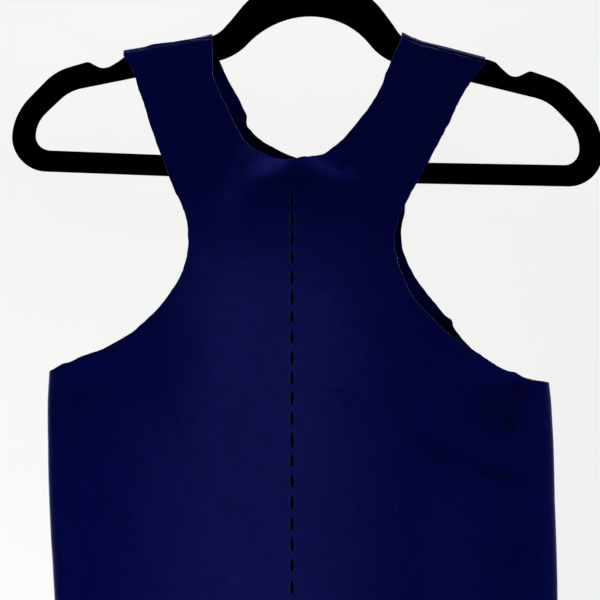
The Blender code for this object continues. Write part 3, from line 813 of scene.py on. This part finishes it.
def resample(route, pitch):
    """The route at even steps, and the distance along it."""
    steps = np.linalg.norm(np.diff(route[:, :3], axis=0), axis=1)
    lengths = np.concatenate([[0.0], np.cumsum(steps)])
    at = np.linspace(0.0, lengths[-1], int(lengths[-1] / pitch))
    return np.stack([np.interp(at, lengths, column) for column in route.T], axis=1), at


def frame_along(route, across):
    """Two unit vectors square to a route at each of its points."""
    tangent = np.gradient(route, axis=0)
    tangent /= np.linalg.norm(tangent, axis=1)[:, None]
    first = np.cross(tangent, across)
    first /= np.linalg.norm(first, axis=1)[:, None]
    return first, np.cross(tangent, first)


def tube(route, radius, sides, across=(1.0, 0.0, 0.0)):
    """Vertices and faces of a tube along a route, its radius one number or one per point."""
    radius = np.broadcast_to(radius, (len(route),))
    first, second = frame_along(route, across)
    turn = (np.arange(sides) * 2 * math.pi / sides)[None, :, None]
    ring = first[:, None] * np.cos(turn) + second[:, None] * np.sin(turn)
    vertices = (route[:, None] + ring * radius[:, None, None]).reshape(-1, 3)
    ids = np.arange(len(route) * sides).reshape(len(route), sides)
    around = np.roll(ids, -1, axis=1)
    faces = np.stack([ids[:-1], around[:-1], around[1:], ids[1:]], axis=-1).reshape(-1, 4).tolist()
    return vertices, faces + [ids[0, ::-1].tolist(), ids[-1].tolist()]


def knot():
    """Two small turns of the thread at its upper end."""
    turns = np.linspace(0.0, 2 * math.pi * KNOT_TURNS, 60)
    x = STITCH_X - KNOT_SHIFT + KNOT_HALF_WIDTH * np.cos(turns)
    drop = stitch_span(0)[0] + KNOT_DROP + KNOT_HALF_HEIGHT * np.sin(turns)
    drop = drop + KNOT_ADVANCE * turns / math.pi
    lift = KNOT_LIFT + KNOT_RISE * np.cos(2 * turns + 1.0)
    return tube(over_front(x, drop, lift), KNOT_RADIUS, STRAND_SIDES, across=(0.0, 1.0, 0.0))


def thread_piece(materials):
    """Two strands laid round each other, and the knot."""
    route, at = resample(thread_route(), THREAD_PITCH)
    centre, fullness = route[:, :3], route[:, 3]
    first, second = frame_along(centre, (1.0, 0.0, 0.0))
    parts = []
    for strand in range(2):
        turn = 2 * math.pi * at / STRAND_LAY + math.pi * strand
        spoke = first * np.cos(turn)[:, None] + second * np.sin(turn)[:, None]
        fuzz = fullness * (1 + STRAND_FUZZ * noise(at / (1.3 * MM), 0.5 + strand, 91))
        line = centre + spoke * (STRAND_OFFSET * fullness)[:, None]
        parts.append(tube(line, STRAND_RADIUS * fuzz, STRAND_SIDES))
    vertices, faces = [], []
    for part_vertices, part_faces in parts + [knot()]:
        faces += [[i + len(vertices) for i in face] for face in part_faces]
        vertices += part_vertices.tolist()
    return mesh_object("running_stitch", vertices, faces, materials, 60.0)


# Hanger

HANGER_ARC_STEP = math.radians(3.0)
HANGER_PITCH = 2.5 * MM
PROFILE_STEPS = 6
HOOK_NECK_STEPS = 24
HOOK_STEPS = 96
HOOK_SIDES = 20


def rounded(corners):
    """A closed outline in metres through the corners and their mirror images, each one rounded."""
    half = [Vector((corner.x, corner.drop)) * MM for corner in corners]
    places = half + [Vector((-place.x, place.y)) for place in half[-2:0:-1]]
    radii = [corner.radius * MM for corner in corners]
    radii += radii[-2:0:-1]
    outline = []
    for i, (place, radius) in enumerate(zip(places, radii)):
        back = (places[i - 1] - place).normalized()
        ahead = (places[(i + 1) % len(places)] - place).normalized()
        half_angle = back.angle(ahead) / 2
        centre = place + (back + ahead).normalized() * (radius / math.sin(half_angle))
        first = place + back * (radius / math.tan(half_angle)) - centre
        sweep = first.angle_signed(place + ahead * (radius / math.tan(half_angle)) - centre)
        steps = max(2, math.ceil(abs(sweep) / HANGER_ARC_STEP))
        for step in range(steps + 1):
            turn = -sweep * step / steps
            cosine, sine = math.cos(turn), math.sin(turn)
            spoke = (first.x * cosine - first.y * sine, first.x * sine + first.y * cosine)
            outline.append(centre + Vector(spoke))
    return spaced(outline, HANGER_PITCH)


def spaced(outline, pitch):
    """The outline with its long straight runs divided."""
    dense = []
    for i, place in enumerate(outline):
        ahead = outline[(i + 1) % len(outline)]
        count = max(1, round((ahead - place).length / pitch))
        dense += [place.lerp(ahead, step / count) for step in range(count)]
    return dense


def inset(outline, distance):
    """The outline moved to its inner side; a hole's outline takes a negative distance."""
    moved = []
    for i, place in enumerate(outline):
        tangent = outline[(i + 1) % len(outline)] - outline[i - 1]
        normal = Vector((-tangent.y, tangent.x)).normalized()
        moved.append(place + normal * distance)
    return moved


def settled(vertices):
    """The level form with the departures of HANGER_ROWS."""
    drop = -vertices[:, 2] / MM
    slopes = [(row[0], math.tan(math.radians(row[3]))) for row in HANGER_ROWS]
    vertices[:, 2] -= read_off(drop, HANGER_ROWS, 2) * MM + vertices[:, 0] * read_off(drop, slopes)
    vertices[:, 0] += read_off(drop, HANGER_ROWS) * MM
    return vertices


def tilted(vertices):
    """The level form leaning as it hangs."""
    cosine, sine = math.cos(HANGER_TILT), math.sin(HANGER_TILT)
    x, z = vertices[:, 0].copy(), vertices[:, 2].copy()
    vertices[:, 0] = x * cosine + z * sine
    vertices[:, 2] = -x * sine + z * cosine
    return vertices


def hanger_piece(materials):
    """The flocked loop: both outlines swept through a rounded profile, its faces filled between."""
    mesh = bmesh.new()
    profile = []
    for step in range(PROFILE_STEPS + 1):
        turn = math.pi / 2 * (1 - step / PROFILE_STEPS)
        distance = HANGER_ROUNDING * (1 - math.cos(turn))
        profile.append((distance, HANGER_ROUNDING * (1 - math.sin(turn)) - HANGER_THICK / 2))
    profile += [(distance, -y) for distance, y in reversed(profile)]
    caps = ([], [])
    for corners, direction in ((OUTER_CORNERS, 1), (INNER_CORNERS, -1)):
        outline = rounded(corners)
        rings = []
        for distance, y in profile:
            line = inset(outline, direction * distance)
            rings.append([mesh.verts.new((place.x, y, -place.y)) for place in line])
        for front, back in zip(rings, rings[1:]):
            for i in range(len(outline)):
                mesh.faces.new((front[i - 1], front[i], back[i], back[i - 1]))
        for cap, ring in zip(caps, (rings[0], rings[-1])):
            cap += [mesh.edges.get((ring[i - 1], ring[i])) for i in range(len(ring))]
    for cap in caps:
        bmesh.ops.triangle_fill(mesh, edges=cap, use_beauty=True)
    bmesh.ops.recalc_face_normals(mesh, faces=mesh.faces)
    vertices = tilted(settled(np.array([vertex.co for vertex in mesh.verts], dtype=float)))
    mesh.verts.index_update()
    faces = [[vertex.index for vertex in face.verts] for face in mesh.faces]
    mesh.free()
    x, drop = pulled(vertices[:, 0], -vertices[:, 2], HANGER_PULLS)
    vertices = np.stack([x, vertices[:, 1], -drop], axis=1)
    return mesh_object("hanger_body", vertices.tolist(), faces, materials, 35.0)


def hook_piece(materials):
    """The bent wire with a rounded tip."""
    radius = HOOK_INNER_RADIUS + WIRE_RADIUS
    neck_radius = radius * math.cos(HOOK_NECK_TURN) / (1 - math.cos(HOOK_NECK_TURN))
    meet_drop = HOOK_INNER_RADIUS + radius * math.sin(HOOK_NECK_TURN)
    bend_drop = meet_drop + neck_radius * math.sin(HOOK_NECK_TURN)
    route = [(0.0, SHANK_END_DROP), (0.0, (SHANK_END_DROP + bend_drop) / 2)]
    for step in range(HOOK_NECK_STEPS):
        turn = HOOK_NECK_TURN * step / HOOK_NECK_STEPS
        x = neck_radius * (1 - math.cos(turn))
        route.append((x, bend_drop - neck_radius * math.sin(turn)))
    for step in range(HOOK_STEPS + 1):
        turn = -HOOK_NECK_TURN + (HOOK_TIP_ANGLE + HOOK_NECK_TURN) * step / HOOK_STEPS
        route.append((radius * math.cos(turn), HOOK_INNER_RADIUS - radius * math.sin(turn)))
    line = np.array([(x, 0.0, -drop) for x, drop in route])
    reach = np.linalg.norm(line - line[-1], axis=1)
    near = np.clip(1 - reach / WIRE_RADIUS, 0.0, 1.0)
    near[: len(near) // 2] = 0.0
    taper = np.sqrt(np.clip(1 - near**2, 0.0, 1.0)) * 0.98 + 0.02
    vertices, faces = tube(line, WIRE_RADIUS * taper, HOOK_SIDES, across=(0.0, 1.0, 0.0))
    return mesh_object("hanger_wire", tilted(vertices).tolist(), faces, materials, 60.0)


# Materials


def fill(tree, node, **values):
    """Sets a node's inputs, named with _ for a space, to numbers, colours or linked sockets, and
    its properties."""
    for key, value in values.items():
        socket = node.inputs.get(key.replace("_", " "))
        if socket is None:
            setattr(node, key, value)
        else:
            put(tree, socket, value)
    return node


def put(tree, socket, value):
    if isinstance(value, bpy.types.NodeSocket):
        tree.links.new(value, socket)
    elif socket.type == "RGBA":
        socket.default_value = (*value, 1.0)
    else:
        socket.default_value = value


def add(tree, kind, **values):
    return fill(tree, tree.nodes.new(kind), **values)


def nodes_of(name):
    made = bpy.data.materials.new(name)
    made.use_nodes = True
    return made, made.node_tree, made.node_tree.nodes["Principled BSDF"]


def own_place(tree):
    return add(tree, "ShaderNodeTexCoord").outputs["Object"]


def across_and_height(tree):
    split = add(tree, "ShaderNodeSeparateXYZ", Vector=own_place(tree))
    return split.outputs["X"], split.outputs["Z"]


def object_noise(tree, scale, detail, roughness=0.55):
    """A noise over the object's own coordinates; scale is cells per metre, a number or (x, y, z)."""
    scale = scale if isinstance(scale, tuple) else (scale,) * 3
    place = add(tree, "ShaderNodeMapping", Vector=own_place(tree), Scale=scale).outputs["Vector"]
    made = add(tree, "ShaderNodeTexNoise", Vector=place, Scale=1.0, Detail=detail, Roughness=roughness)
    return made.outputs["Fac"]


def remap(tree, value, low, high, to_low, to_high):
    made = add(tree, "ShaderNodeMapRange", Value=value, From_Min=low, From_Max=high)
    return fill(tree, made, To_Min=to_low, To_Max=to_high).outputs["Result"]


def smooth_ramp(tree, value, low, high):
    """0 at low, 1 at high and smooth between."""
    made = add(tree, "ShaderNodeMapRange", interpolation_type="SMOOTHSTEP", Value=value)
    return fill(tree, made, From_Min=low, From_Max=high).outputs["Result"]


def calculated(tree, operation, *values):
    made = add(tree, "ShaderNodeMath", operation=operation)
    for socket, value in zip(made.inputs, values):
        put(tree, socket, value)
    return made.outputs["Value"]


def product(tree, first, second):
    return calculated(tree, "MULTIPLY", first, second)


def scaled(tree, colour, factor):
    made = add(tree, "ShaderNodeVectorMath", operation="SCALE", Scale=factor)
    put(tree, made.inputs[0], colour)
    return made.outputs["Vector"]


def mix(tree, factor, first, second):
    made = add(tree, "ShaderNodeMix", data_type="RGBA", clamp_factor=False, Factor=factor)
    colours = [socket for socket in made.inputs if socket.type == "RGBA"]
    for socket, colour in zip(colours, (first, second)):
        put(tree, socket, colour)
    return [socket for socket in made.outputs if socket.type == "RGBA"][0]


def bumped(tree, *heights):
    """The normal after a chain of bumps, each (height socket, strength, distance in metres)."""
    normal = None
    for height, strength, distance in heights:
        made = add(tree, "ShaderNodeBump", Height=height, Strength=strength, Distance=distance)
        if normal:
            put(tree, made.inputs["Normal"], normal)
        normal = made.outputs["Normal"]
    return normal


def knit(tree):
    """Fine wales and courses of a smooth double knit, from 0 to 1."""
    heights = []
    for direction, scale in (("X", 620.0), ("Z", 500.0)):
        wave = add(tree, "ShaderNodeTexWave", wave_type="BANDS", bands_direction=direction)
        fill(tree, wave, Vector=own_place(tree), Scale=scale, Distortion=1.5, Detail=1.0)
        heights.append(wave.outputs["Fac"])
    return product(tree, *heights)


# Soft spots on the front, with half sizes and a turn in degrees. Where a pool of light is painted,
# most of all on the facets over the hanger's bar; a negative amount takes painted light away:
Spot = namedtuple("Spot", "name x drop half_width half_height turn amount")
PAINTED_LIGHT_SPOTS = (
    Spot("left facet", -35, 226.5, 29, 12.5, 20, 0.95),
    Spot("left facet's upper edge", -30, 221.5, 22, 7, 6, 0.60),
    Spot("neckline's lit edge", -24.5, 221.8, 15, 1.8, -3, 2.4),
    Spot("beside the neckline", -41.8, 218, 28, 20, -38, 0.80),
    Spot("left facet's tail", -57, 238, 26, 20, 35, 0.40),
    Spot("left chest light", -66, 256, 24, 22, 0, 0.30),
    Spot("right facet", 4, 226, 22, 10, -24, 0.55),
    Spot("right facet's tail", 22, 233, 24, 13, -10, 0.40),
    Spot("right bar dimple", 20.8, 229, 5, 4, 0, -0.5),
    Spot("light above the ledge", 112, 430, 26, 12, -30, 0.16),
    Spot("left chest", -108, 366, 46, 96, 0, -0.45),
    Spot("middle chest", -50, 395, 26, 60, 0, 0.14),
    Spot("right waist", 103, 520, 44, 78, 0, 0.20),
    Spot("right rim's sheen", 177, 510, 13, 150, 0, 0.22),
)
# Where the cloth is pinched and lies in its own shade:
SHADED_SPOTS = (
    Spot("right bar dimple", 20.8, 229, 5, 4, 0, 0.15),
    Spot("below the neck", -14, 236, 24, 12, 0, 0.10),
    Spot("side pinch", 148, 423, 7, 17, 0, 0.34),
    Spot("side shade", 138, 409, 30, 30, 0, 0.20),
    Spot("corner pinch", 152, 395, 14, 12, -30, 0.30),
    Spot("ledge shade", 95, 442, 26, 11, -38, 0.09),
    Spot("lower ledge shade", 136, 459.5, 26, 9, -24, 0.12),
    Spot("right side shade", 152, 532, 26, 120, 0, 0.15),
    Spot("left side shade", -186, 418, 26, 60, 0, 0.14),
)
SPOT_DEPTH = 9.0 * MM


def spots_total(tree, start, spots):
    """The start value and every spot's mask times its amount."""
    total = start
    for spot in spots:
        into = add(
            tree,
            "ShaderNodeMapping",
            vector_type="TEXTURE",
            Vector=own_place(tree),
            Location=(spot.x * MM, -SPOT_DEPTH, -spot.drop * MM),
            Rotation=(0.0, -math.radians(spot.turn), 0.0),
            Scale=(spot.half_width * MM, SPOT_DEPTH, spot.half_height * MM),
        )
        place = into.outputs["Vector"]
        ball = add(tree, "ShaderNodeTexGradient", gradient_type="SPHERICAL", Vector=place)
        mask = smooth_ramp(tree, ball.outputs["Fac"], 0.0, 0.8)
        total = calculated(tree, "MULTIPLY_ADD", mask, spot.amount, total)
    return total


def painted_light_middle(tree, across, height):
    """1 down the middle of the body, where a pool of light is painted, and 0 at sides and straps; the
    spots add to it.
    """
    left = smooth_ramp(tree, across, -0.170, -0.062)
    right = smooth_ramp(tree, across, 0.088, -0.026)
    down = smooth_ramp(tree, height, -0.240, -0.340)
    middle = product(tree, product(tree, left, right), down)
    patchy = remap(tree, object_noise(tree, (26.0, 26.0, 20.0), 3.0), 0.3, 0.7, 0.84, 1.10)
    total = calculated(tree, "MAXIMUM", spots_total(tree, middle, PAINTED_LIGHT_SPOTS), 0.0)
    return product(tree, total, patchy)


def inner_shade(tree, height):
    """1 in the open and less low in the neck and low in the armholes, where both layers meet."""
    below_strap, above_hollow = (-0.176, -0.205), (-0.256, -0.236)
    neck = product(
        tree, smooth_ramp(tree, height, *below_strap), smooth_ramp(tree, height, *above_hollow)
    )
    armhole = smooth_ramp(tree, height, -0.332, -0.352)
    in_neck = remap(tree, neck, 0.0, 1.0, 1.0, 0.22)
    return product(tree, in_neck, remap(tree, armhole, 0.0, 1.0, 1.0, 0.15))


def navy_cloth(name, strap, body=None, lit_colour=None, sheen=1.0, specular=0.002, shaded=False):
    """The knit with painted light and shade: darker towards the straps, a painted pool of light down
    the middle and on the spots, lighter towards the hem, darker to the right and in the shaded spots.
    """
    body = body or strap
    lit_colour = lit_colour or body
    made, tree, shader = nodes_of(name)
    across, height = across_and_height(tree)
    # Painted shade darkens the straps, and a painted pool of light lightens the middle and the spots.
    tone = mix(tree, smooth_ramp(tree, height, -0.170, -0.530), strap, body)
    tone = mix(tree, painted_light_middle(tree, across, height), tone, lit_colour)
    blotch = remap(tree, object_noise(tree, (150.0, 150.0, 105.0), 4.0, 0.6), 0.3, 0.7, 0.0, 0.30)
    tone = mix(tree, blotch, tone, tuple(channel * 0.7 for channel in strap))
    fleck = object_noise(tree, 420.0, 3.0, 0.7)
    bright = tuple(min(1.0, channel * 1.7 + 0.0008) for channel in body)
    colour = mix(tree, remap(tree, fleck, 0.58, 0.78, 0.0, 0.55), tone, bright)
    lint = object_noise(tree, 330.0, 1.0)
    colour = mix(tree, remap(tree, lint, 0.80, 0.84, 0.0, 0.5), colour, (0.02, 0.02, 0.09))
    # Painted light falloff: lighter towards the hem and darker towards the right.
    painted_light_gain = product(
        tree,
        remap(tree, height, -0.290, -0.640, 0.97, 1.30),
        remap(tree, across, -0.120, 0.130, 1.03, 0.86),
    )
    lit = remap(tree, spots_total(tree, 0.0, SHADED_SPOTS), 0.0, 1.0, 1.0, 0.0)
    colour = scaled(tree, colour, product(tree, painted_light_gain, lit))
    if shaded:
        colour = scaled(tree, colour, inner_shade(tree, height))
    pile = object_noise(tree, (190.0, 190.0, 150.0), 3.0)
    nap = object_noise(tree, 900.0, 2.0)
    fill(
        tree,
        shader,
        Base_Color=colour,
        Roughness=remap(tree, fleck, 0.3, 0.7, 0.82, 0.94),
        Specular_IOR_Level=specular,
        Sheen_Weight=sheen,
        Sheen_Roughness=0.32,
        Sheen_Tint=(0.52, 0.52, 1.0),
        Normal=bumped(
            tree, (pile, 0.5, 0.0005), (knit(tree), 0.35, 0.00016), (nap, 0.5, 0.00012)
        ),
    )
    return made


def flecked(name, scale, colours, roughness, *bumps, **values):
    """A look whose colour and roughness follow one noise; a bump is (scale, strength, distance)."""
    made, tree, shader = nodes_of(name)
    fleck = object_noise(tree, scale, 2.0)
    heights = [(object_noise(tree, scale, 2.0), *bump) for scale, *bump in bumps]
    fill(
        tree,
        shader,
        Base_Color=mix(tree, fleck, *colours),
        Roughness=remap(tree, fleck, 0.3, 0.7, *roughness),
        Normal=bumped(tree, *heights),
        **values,
    )
    return made


# Pieces

# In the order of the cloth's slots.
CLOTH_LOOKS = [
    navy_cloth(
        "navy_double_knit",
        strap=(0.0002, 0.0007, 0.0290),
        body=(0.0007, 0.0013, 0.0440),
        # The colour of the painted pool of light.
        lit_colour=(0.0046, 0.0049, 0.0645),
        sheen=0.6,
    ),
    navy_cloth("raw_cut_edge", (0.013, 0.013, 0.078), (0.026, 0.025, 0.115), specular=0.02),
    # The wall's inner side, darkened with painted shade, most of all low in the neck and armholes.
    navy_cloth(
        "wrong_side_painted_shade",
        strap=(0.0002, 0.0005, 0.0190),
        body=(0.0003, 0.0006, 0.0230),
        sheen=0.3,
        shaded=True,
    ),
    # A painted highlight on the lips beside the stitches and on the front's fold.
    navy_cloth("knit_painted_highlight", (0.0030, 0.0042, 0.0400), (0.0072, 0.0084, 0.0600)),
    # Painted shade in the seam's groove.
    navy_cloth("groove_painted_shade", (0.0002, 0.0004, 0.0240), sheen=0.0),
    # Painted sheen on the back's fold over the shoulder.
    navy_cloth("fold_painted_sheen", (0.0170, 0.0165, 0.0560)),
]
flock = flecked(
    "flock",
    1600.0,
    ((0.00002, 0.00002, 0.00002), (0.0002, 0.0002, 0.0002)),
    (0.9, 1.0),
    (60.0, 0.2, 0.0006),
    (1600.0, 0.8, 0.0003),
    Specular_IOR_Level=0.002,
    Sheen_Weight=0.01,
    Sheen_Roughness=0.3,
)
FIBRES = (2600.0, 2600.0, 900.0)
thread_black = flecked(
    "stitch_thread",
    FIBRES,
    ((0.0, 0.0003, 0.0014), (0.0002, 0.0008, 0.0032)),
    (0.7, 0.9),
    (FIBRES, 0.5, 0.00015),
    Specular_IOR_Level=0.004,
    Sheen_Weight=0.0,
)
SCRATCHES = (900.0, 900.0, 60.0)
steel = flecked(
    "hook_metal",
    SCRATCHES,
    ((0.55, 0.55, 0.56), (0.66, 0.66, 0.67)),
    (0.16, 0.3),
    (SCRATCHES, 0.08, 0.00005),
    Metallic=1.0,
)
front, front_area = cloth_piece(FRONT, 2.2 * MM, 54, CLOTH_LOOKS)
back, back_area = cloth_piece(BACK, 2.8 * MM, 36, CLOTH_LOOKS)
stitches = thread_piece([thread_black])
hanger = hanger_piece([flock])
wire = hook_piece([steel])

for piece, slot_name in (
    (front, "navy_cloth"),
    (back, "navy_cloth"),
    (stitches, "black_flock"),
    (hanger, "black_flock"),
    (wire, "hook_steel"),
):
    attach(piece, "root")
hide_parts("front_panel")
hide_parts("back_panel")
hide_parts("hanger_frame")
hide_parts("hanger_hook")

# Studio

SIGHT = Vector((-10.1 * MM, 0.0, -328.7 * MM))
VIEW_DISTANCE = 1.25
CLOTH_PLANE = -6.0 * MM
FRAME_WIDTH = 452.4 * MM
SENSOR = 36.0
GARMENT_MIDDLE = (0.0, 0.0, -0.35)
GARMENT_LOW = (0.0, 0.0, -0.6)
FLOOR_Z = -1.45
FLOOR_RINGS = (1.2, 2.2, 3.0)
COVE_RADIUS = 1.6
COVE_STEPS = 12
COVE_SIDES = 96
WALL_RINGS = (1.2, 2.6)

lens = bpy.data.cameras.new("camera")
lens.sensor_width = SENSOR
lens.lens = SENSOR * VIEW_DISTANCE / FRAME_WIDTH
camera = bpy.data.objects.new("camera", lens)
camera.location = (SIGHT.x, CLOTH_PLANE - VIEW_DISTANCE, SIGHT.z)
camera.rotation_euler = (math.pi / 2, 0.0, 0.0)
bpy.context.scene.collection.objects.link(camera)
bpy.context.scene.camera = camera
bpy.context.scene.view_settings.view_transform = "Standard"


def studio_white():
    """Pale, and glowing a little more towards its top."""
    made, tree, shader = nodes_of("pale_studio")
    soft = object_noise(tree, 2.0, 2.0)
    _, height = across_and_height(tree)
    fill(
        tree,
        shader,
        Base_Color=mix(tree, soft, (0.30, 0.30, 0.295), (0.32, 0.32, 0.317)),
        Emission_Color=mix(
            tree,
            remap(tree, height, -1.3, 0.1, 0.0, 1.0),
            (0.67, 0.667, 0.66),
            (1.0, 0.99, 0.975),
        ),
        Emission_Strength=0.48,
        Roughness=0.9,
        Specular_IOR_Level=0.1,
    )
    return made


def studio_cove():
    """A round pale floor that curves up into a wall."""
    outline = [(radius, FLOOR_Z) for radius in FLOOR_RINGS]
    start = FLOOR_RINGS[-1]
    for step in range(1, COVE_STEPS + 1):
        turn = math.pi / 2 * step / COVE_STEPS
        up = FLOOR_Z + COVE_RADIUS * (1 - math.cos(turn))
        outline.append((start + COVE_RADIUS * math.sin(turn), up))
    outline += [(start + COVE_RADIUS, z) for z in WALL_RINGS]
    vertices, faces = [], [list(range(COVE_SIDES))]
    for radius, z in outline:
        for i in range(COVE_SIDES):
            turn = 2 * math.pi * i / COVE_SIDES
            vertices.append((radius * math.cos(turn), radius * math.sin(turn), z))
    for ring in range(len(outline) - 1):
        for i in range(COVE_SIDES):
            a, b = ring * COVE_SIDES + i, ring * COVE_SIDES + (i + 1) % COVE_SIDES
            faces.append([a, b, b + COVE_SIDES, a + COVE_SIDES])
    return mesh_object("studio_floor", vertices, faces, [studio_white()], 60.0)


cove = studio_cove()
cove.visible_diffuse = False

world = bpy.data.worlds.new("studio_air")
world.use_nodes = True
air = world.node_tree.nodes["Background"]
fill(world.node_tree, air, Color=(0.95, 0.97, 1.0), Strength=0.22)
bpy.context.scene.world = world


def soft_light(name, place, aim, size, power, colour):
    data = bpy.data.lights.new(name, "AREA")
    data.shape = "RECTANGLE"
    data.size, data.size_y = size
    data.energy = power
    data.color = colour
    made = bpy.data.objects.new(name, data)
    made.location = place
    made.rotation_euler = (Vector(aim) - Vector(place)).to_track_quat("-Z", "Y").to_euler()
    made.visible_camera = False
    bpy.context.scene.collection.objects.link(made)


SUNNY, WARM, COOL = (1.0, 0.985, 0.96), (1.0, 0.99, 0.97), (0.95, 0.97, 1.0)
soft_light("window", (-0.6, -5.6, 5.8), GARMENT_MIDDLE, (3.0, 2.4), 415.0, SUNNY)
soft_light("ceiling", (-0.5, -1.4, 4.4), GARMENT_MIDDLE, (1.8, 1.3), 240.0, WARM)
soft_light("side", (2.9, -0.9, 0.1), GARMENT_MIDDLE, (0.8, 1.2), 22.0, WARM)
soft_light("fill", (-1.2, -2.0, -1.1), GARMENT_LOW, (1.0, 0.8), 5.0, COOL)
soft_light("back", (-1.7, 3.1, 2.4), GARMENT_MIDDLE, (2.0, 1.6), 340.0, (0.96, 0.98, 1.0))
